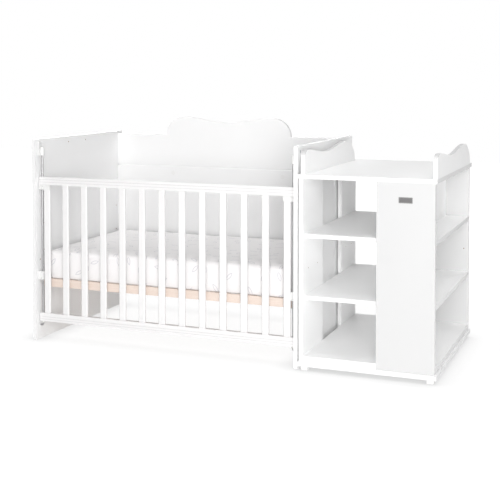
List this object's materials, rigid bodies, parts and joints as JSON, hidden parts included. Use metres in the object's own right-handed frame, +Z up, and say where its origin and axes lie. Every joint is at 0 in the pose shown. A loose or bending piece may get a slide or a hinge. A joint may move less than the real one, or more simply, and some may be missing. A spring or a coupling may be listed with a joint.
{
  "type": "crib with changer",
  "caption": "Baby crib with a sliding slatted side, a mattress on a slatted base and a wavy back crest, joined at one end to an open shelf unit with a changer top.",
  "frame": {"origin": "bottom centre of the whole object's bounding box, on the floor", "axes": "+X along the crib towards the changer, +Y to the back, +Z up"},
  "size_m": [1.722, 0.774, 0.927],
  "materials": {
    "white_board": "white melamine-faced board with banded edges",
    "white_lacquer": "white satin lacquer on solid wood",
    "white_plastic": "moulded white plastic",
    "rubber": "pale grey moulded rubber",
    "steel": "zinc-plated steel",
    "beech": "bare beech",
    "mattress_cover": "white knitted cover with a faint grey pattern",
    "plate_metal": "dark grey enamelled metal, blank"
  },
  "bodies": {
    "frame": {"left_end_panel": "white_board", "right_end_panel": "white_board", "upper_back_board": "white_board", "lower_back_board": "white_board", "changer_base": "white_board", "changer_floor": "white_board", "front_upright": "white_board", "rear_upright": "white_board", "front_panel": "white_board", "back_panel": "white_board", "upper_shelf": "white_board", "lower_shelf": "white_board", "divider": "white_board", "changer_top": "white_board", "left_wing": "white_board", "right_wing": "white_board", "cover_caps": "white_plastic", "left_rod_socket": "white_plastic", "right_rod_socket": "white_plastic", "left_rod_clip": "white_plastic", "right_rod_clip": "white_plastic", "changer_feet": "white_plastic", "link_spacers": "white_plastic", "rod_stops": "rubber", "panel_bolts": "steel", "left_guide_rod": "steel", "right_guide_rod": "steel", "base_irons": "steel", "base_bolts": "steel", "shelf_pins": "steel", "link_bolts": "steel", "base_front_rail": "beech", "base_back_rail": "beech", "base_left_rail": "beech", "base_right_rail": "beech", "base_slats": "beech", "wooden_dowels": "beech", "blank_plate": "plate_metal"},
    "drop_side": {"top_rail": "white_lacquer", "bottom_rail": "white_lacquer", "left_stile": "white_lacquer", "right_stile": "white_lacquer", "drop_slat_1": "white_lacquer", "drop_slat_2": "white_lacquer", "drop_slat_3": "white_lacquer", "drop_slat_4": "white_lacquer", "drop_slat_5": "white_lacquer", "drop_slat_6": "white_lacquer", "drop_slat_7": "white_lacquer", "drop_slat_8": "white_lacquer", "drop_slat_9": "white_lacquer", "drop_slat_10": "white_lacquer", "drop_slat_11": "white_lacquer", "rail_bushes": "white_plastic", "left_catch_housing": "white_plastic", "right_catch_housing": "white_plastic"},
    "left_catch": {"left_catch_button": "white_plastic"},
    "right_catch": {"right_catch_button": "white_plastic"},
    "mattress": {"mattress": "mattress_cover"}
  },
  "joints": [
    {"name": "drop_side_slide", "type": "slide", "parent": "frame", "child": "drop_side", "axis": [0, 0, 1], "range_m": [0, 0.088]},
    {"name": "left_catch_press", "type": "slide", "parent": "drop_side", "child": "left_catch", "axis": [0, 1, 0], "range_m": [0, 0.003], "stiffness_N_per_m": 300},
    {"name": "right_catch_press", "type": "slide", "parent": "drop_side", "child": "right_catch", "axis": [0, 1, 0], "range_m": [0, 0.003], "stiffness_N_per_m": 300},
    {"name": "mattress_lift", "type": "slide", "parent": "frame", "child": "mattress", "axis": [0, 0, 1], "range_m": [0, 0.5]}
  ]
}
